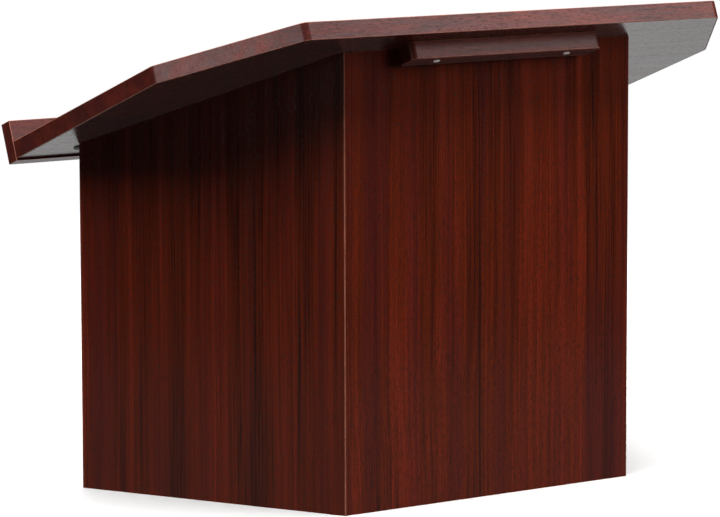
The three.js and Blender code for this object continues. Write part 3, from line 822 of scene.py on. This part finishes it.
def stage_floor():
    profile = [(0, -FLOOR_THICKNESS), (FLOOR_RADIUS, -FLOOR_THICKNESS), (FLOOR_RADIUS, 0), (0, 0)]
    floor = solid(lathe(profile, FLOOR_STEPS), "floor")
    g = Graph("pale_floor")
    tone = g.spread(g.noise(g.place, 3.0, 3.0), 0.3, 0.7)
    colour = g.mix(tone, (0.88, 0.88, 0.875), (0.91, 0.91, 0.905))
    floor.data.materials.append(g.finish(Base_Color=colour, Roughness=0.7, Specular_IOR_Level=0.1))
    floor.visible_glossy = False
    floor.visible_diffuse = False


def compass(azimuth, elevation):
    """The direction from the lectern to a place around it; azimuth 0 is in front, 90 on the right."""
    a = math.radians(azimuth)
    e = math.radians(elevation)
    return Vector((math.sin(a) * math.cos(e), -math.cos(a) * math.cos(e), math.sin(e)))


LIGHT_AIM = Vector((0, 0, 0.25))
# Name, azimuth, elevation, distance, width, height and watts of each light.
SOFT_LIGHTS = (
    ("front_soft", 30, 22, 2.6, 1.6, 1.4, 26),
    ("left_soft", -72, 45, 2.6, 1.2, 1.0, 28),
    ("overhead", 0, 86, 2.6, 3.0, 3.0, 150),
    ("rear_soft", 150, 40, 2.8, 1.6, 1.2, 30),
)
MIRRORED_LIGHTS = (
    ("front_box", 41, 26, 2.2, 1.1, 0.8, 7.5),
    ("left_box", -78, 14, 2.2, 0.8, 0.7, 6.5),
)
GLOW_SIZE = (1.95, 1.3)
GLOW_POWER = 1.7
GLOW_PLACE = (-0.22, -0.25, 0.001)
# Level seen by height of the direction (-1 straight down, 1 straight up).
GLOSS_LEVELS = (
    (-1.0, 0.80), (-0.40, 0.74), (-0.33, 0.45), (-0.24, 0.02), (0.25, 0.01), (0.55, 0.25), (1.0, 0.30),
)
SOFT_LEVELS = ((-1.0, 0.03), (-0.30, 0.03), (-0.05, 0.02), (0.20, 0.04), (1.0, 0.40))


def area_light(name, width, height, power, mirrored):
    """A rectangular light; mirrored ones are seen only as reflections, and the others never are."""
    data = bpy.data.lights.new(name, "AREA")
    data.shape = "RECTANGLE"
    data.size = width
    data.size_y = height
    data.energy = power
    light = bpy.data.objects.new(name, data)
    light.visible_glossy = mirrored
    light.visible_diffuse = not mirrored
    light.visible_camera = False
    bpy.context.scene.collection.objects.link(light)
    return light


def aimed_light(name, azimuth, elevation, distance, width, height, power, mirrored):
    """An area light that faces the lectern."""
    light = area_light(name, width, height, power, mirrored)
    back = compass(azimuth, elevation)
    light.location = LIGHT_AIM + back * distance
    light.rotation_euler = back.to_track_quat("Z", "Y").to_euler()


def floor_glow():
    """The pale floor's reflection in the laminate, as a light that lies on the floor and faces up."""
    light = area_light("floor_glow", *GLOW_SIZE, GLOW_POWER, mirrored=True)
    light.location = GLOW_PLACE
    light.rotation_euler = (math.pi, 0, 0)


def sky(tree, height, levels):
    """A background whose level follows the height of the direction."""
    ramp = tree.nodes.new("ShaderNodeValToRGB")
    shift = tree.nodes.new("ShaderNodeMapRange")
    shift.inputs["From Min"].default_value = -1
    shift.inputs["From Max"].default_value = 1
    tree.links.new(height, shift.inputs["Value"])
    tree.links.new(shift.outputs[0], ramp.inputs[0])
    fill_ramp(ramp, [((at + 1) / 2, (level, level, level)) for at, level in levels])
    background = tree.nodes.new("ShaderNodeBackground")
    tree.links.new(ramp.outputs[0], background.inputs["Color"])
    return background.outputs[0]


def studio():
    for light in SOFT_LIGHTS:
        aimed_light(*light, mirrored=False)
    for light in MIRRORED_LIGHTS:
        aimed_light(*light, mirrored=True)
    floor_glow()
    world = bpy.data.worlds.new("studio")
    world.use_nodes = True
    tree = world.node_tree
    tree.nodes.clear()
    output = tree.nodes.new("ShaderNodeOutputWorld")
    seen = tree.nodes.new("ShaderNodeBackground")
    seen.inputs["Color"].default_value = (1, 1, 1, 1)
    direction = tree.nodes.new("ShaderNodeTexCoord").outputs["Generated"]
    split = tree.nodes.new("ShaderNodeSeparateXYZ")
    tree.links.new(direction, split.inputs[0])
    path = tree.nodes.new("ShaderNodeLightPath")

    def choose(share, first, second):
        node = tree.nodes.new("ShaderNodeMixShader")
        tree.links.new(share, node.inputs[0])
        tree.links.new(first, node.inputs[1])
        tree.links.new(second, node.inputs[2])
        return node.outputs[0]

    soft_sky = sky(tree, split.outputs["Z"], SOFT_LEVELS)
    gloss_sky = sky(tree, split.outputs["Z"], GLOSS_LEVELS)
    around = choose(path.outputs["Is Glossy Ray"], soft_sky, gloss_sky)
    tree.links.new(choose(path.outputs["Is Camera Ray"], around, seen.outputs[0]), output.inputs["Surface"])
    bpy.context.scene.world = world
    bpy.context.scene.view_settings.view_transform = "Standard"


# ---- Camera ----
VIEW_AZIMUTH = -36.56
VIEW_ELEVATION = 7.27
VIEW_ROLL = -0.154
VIEW_DISTANCE = 4.025
VIEW_LENS = 201.5  # mm
SENSOR_WIDTH = 36  # mm
VIEW_CLIP_END = 100
AIM_RIGHT = -0.1298  # from the point above the front panel's foot, half way up it
AIM_UP = 0.0131


def camera():
    roll = math.radians(VIEW_ROLL)
    back = compass(VIEW_AZIMUTH, VIEW_ELEVATION)
    right = Vector((0, 0, 1)).cross(back).normalized()
    up = back.cross(right)
    target = Vector((0, front_low.y, front_high.z / 2)) + right * AIM_RIGHT + up * AIM_UP
    turned_right = right * math.cos(roll) + up * math.sin(roll)
    turned_up = up * math.cos(roll) - right * math.sin(roll)
    data = bpy.data.cameras.new("camera")
    data.lens = VIEW_LENS
    data.sensor_width = SENSOR_WIDTH
    data.clip_end = VIEW_CLIP_END
    obj = bpy.data.objects.new("camera", data)
    place = Matrix((turned_right, turned_up, back)).transposed().to_4x4()
    place.translation = target + back * VIEW_DISTANCE
    obj.matrix_world = place
    bpy.context.scene.collection.objects.link(obj)
    bpy.context.scene.camera = obj


stage_floor()
studio()
camera()
